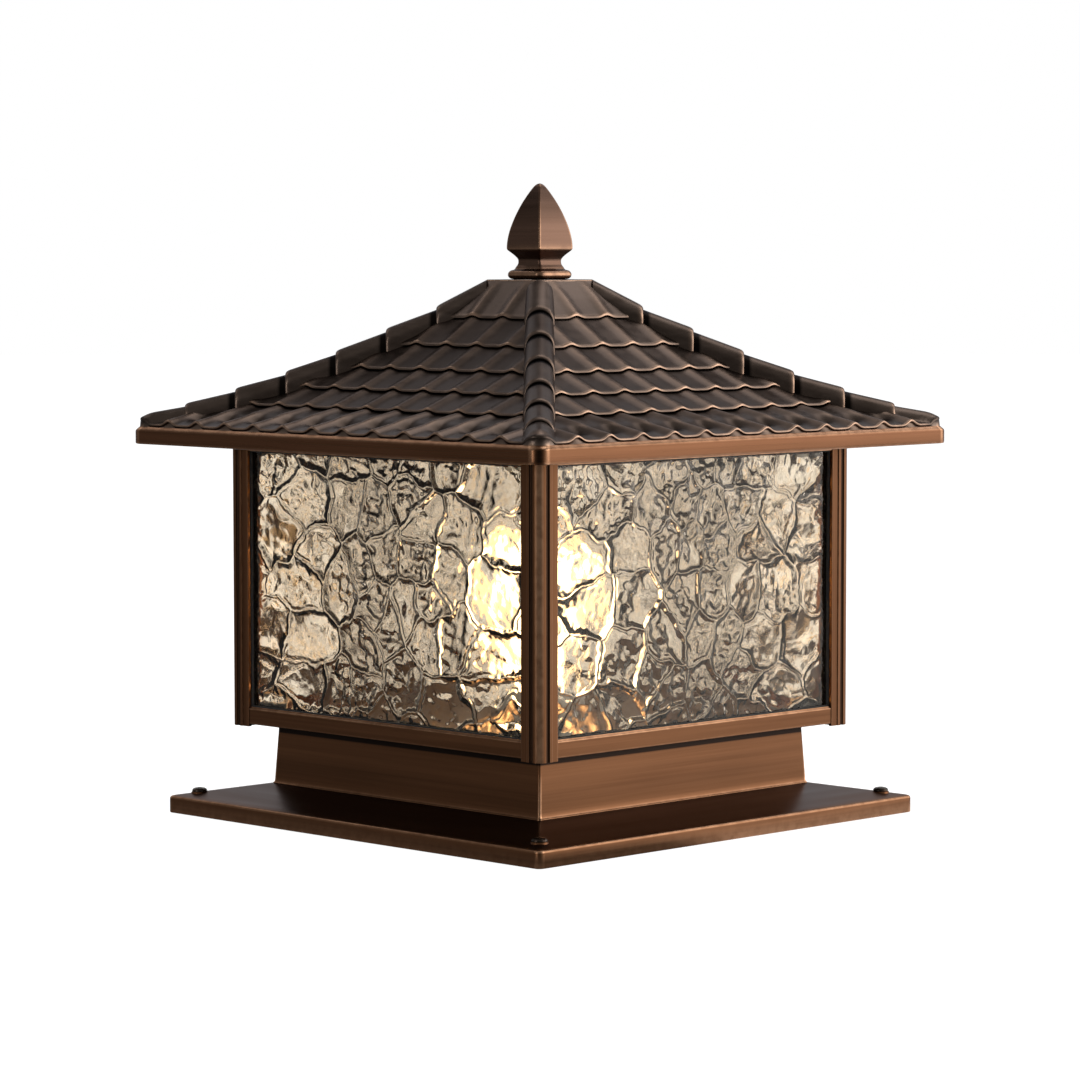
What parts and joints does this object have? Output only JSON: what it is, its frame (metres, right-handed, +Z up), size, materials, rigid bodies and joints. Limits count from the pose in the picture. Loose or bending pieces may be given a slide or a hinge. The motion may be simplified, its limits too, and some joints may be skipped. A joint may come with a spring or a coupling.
{
  "type": "pillar light",
  "caption": "Square outdoor pillar light with a hipped tile roof and spear finial, ripple glass panes between fluted posts, a tapered pedestal and a wide base plate",
  "frame": {"origin": "middle of the underside of the base plate", "axes": "+Z up along the stud and the finial; the sides run along X and Y; -Y is the front pane"},
  "size_m": [0.3, 0.3, 0.3265],
  "materials": {
    "bronze_base": "antique bronze lacquer, brushed, near black on top and copper on the edges",
    "bronze_frame": "antique bronze lacquer, brushed lengthwise",
    "bronze_roof": "dark antique bronze with copper rubbed lips",
    "bronze_finial": "antique bronze lacquer, brushed",
    "ripple_glass": "clear cast glass with a water ripple relief",
    "black_rubber": "matt black rubber",
    "plated_steel": "zinc plated steel",
    "screw_steel": "zinc plated screws",
    "holder_white": "glazed white porcelain",
    "contact_brass": "bright brass",
    "globe_glass": "thin frosted glass",
    "lit_filament": "warm glowing filament",
    "cap_metal": "plated cap",
    "gland_black": "black nylon",
    "lead_brown": "brown insulation",
    "lead_blue": "blue insulation",
    "lead_green": "green and yellow insulation"
  },
  "bodies": {
    "root": {"base_plate": "bronze_base", "pedestal": "bronze_base", "bottom_rail_front": "bronze_frame", "bottom_rail_right": "bronze_frame", "bottom_rail_back": "bronze_frame", "bottom_rail_left": "bronze_frame", "top_rail_front": "bronze_frame", "top_rail_right": "bronze_frame", "top_rail_back": "bronze_frame", "top_rail_left": "bronze_frame", "corner_post_front_right": "bronze_frame", "corner_post_back_right": "bronze_frame", "corner_post_back_left": "bronze_frame", "corner_post_front_left": "bronze_frame", "floor_pan": "bronze_frame", "glass_pane_front": "ripple_glass", "glass_pane_right": "ripple_glass", "glass_pane_back": "ripple_glass", "glass_pane_left": "ripple_glass", "pane_gasket_front": "black_rubber", "pane_gasket_right": "black_rubber", "pane_gasket_back": "black_rubber", "pane_gasket_left": "black_rubber", "roof_gasket": "black_rubber", "gland_seal": "black_rubber", "low_cleats": "plated_steel", "top_cleats": "plated_steel", "crossbar": "plated_steel", "holder_bracket": "plated_steel", "center_stud": "plated_steel", "stud_nuts": "plated_steel", "pedestal_screws": "screw_steel", "body_screws": "screw_steel", "pan_screws": "screw_steel", "post_screws": "screw_steel", "rail_screws": "screw_steel", "crossbar_screws": "screw_steel", "bracket_screws": "screw_steel", "holder_screws": "screw_steel", "clamp_screws": "screw_steel", "block_screws": "screw_steel", "earth_screw": "screw_steel", "lampholder_body": "holder_white", "terminal_block": "holder_white", "lampholder_shell": "contact_brass", "lampholder_contact": "contact_brass", "cable_gland": "gland_black", "gland_nut": "gland_black", "lead_live": "lead_brown", "lead_neutral": "lead_blue", "lead_earth": "lead_green"},
    "roof": {"roof_shell": "bronze_roof"},
    "finial_foot": {"finial_seal": "black_rubber"},
    "finial": {"finial": "bronze_finial"},
    "bulb_foot": {"bulb_contact": "cap_metal"},
    "bulb": {"bulb_globe": "globe_glass", "bulb_stem": "globe_glass", "bulb_filaments": "lit_filament", "bulb_cap": "cap_metal"}
  },
  "joints": [
    {"name": "roof_lift", "type": "slide", "parent": "root", "child": "roof", "axis": [0, 0, 1], "range_m": [0, 0.12]},
    {"name": "finial_rise", "type": "slide", "parent": "roof", "child": "finial_foot", "axis": [0, 0, 1], "range_m": [0, 0.0101]},
    {"name": "finial_turn", "type": "hinge", "parent": "finial_foot", "child": "finial", "pos_m": [0, 0, 0.28], "axis": [0, 0, 1], "range_deg": [0, 2880]},
    {"name": "bulb_rise", "type": "slide", "parent": "root", "child": "bulb_foot", "axis": [0, 0, 1], "range_m": [0, 0.0219]},
    {"name": "bulb_turn", "type": "hinge", "parent": "bulb_foot", "child": "bulb", "pos_m": [0, 0, 0.06], "axis": [0, 0, 1], "range_deg": [0, 2160]}
  ],
  "couplings": [
    {"joint": "finial_rise", "follows": "finial_turn", "m_per_rad": 0.00019894},
    {"joint": "bulb_rise", "follows": "bulb_turn", "m_per_rad": 0.00057614}
  ]
}
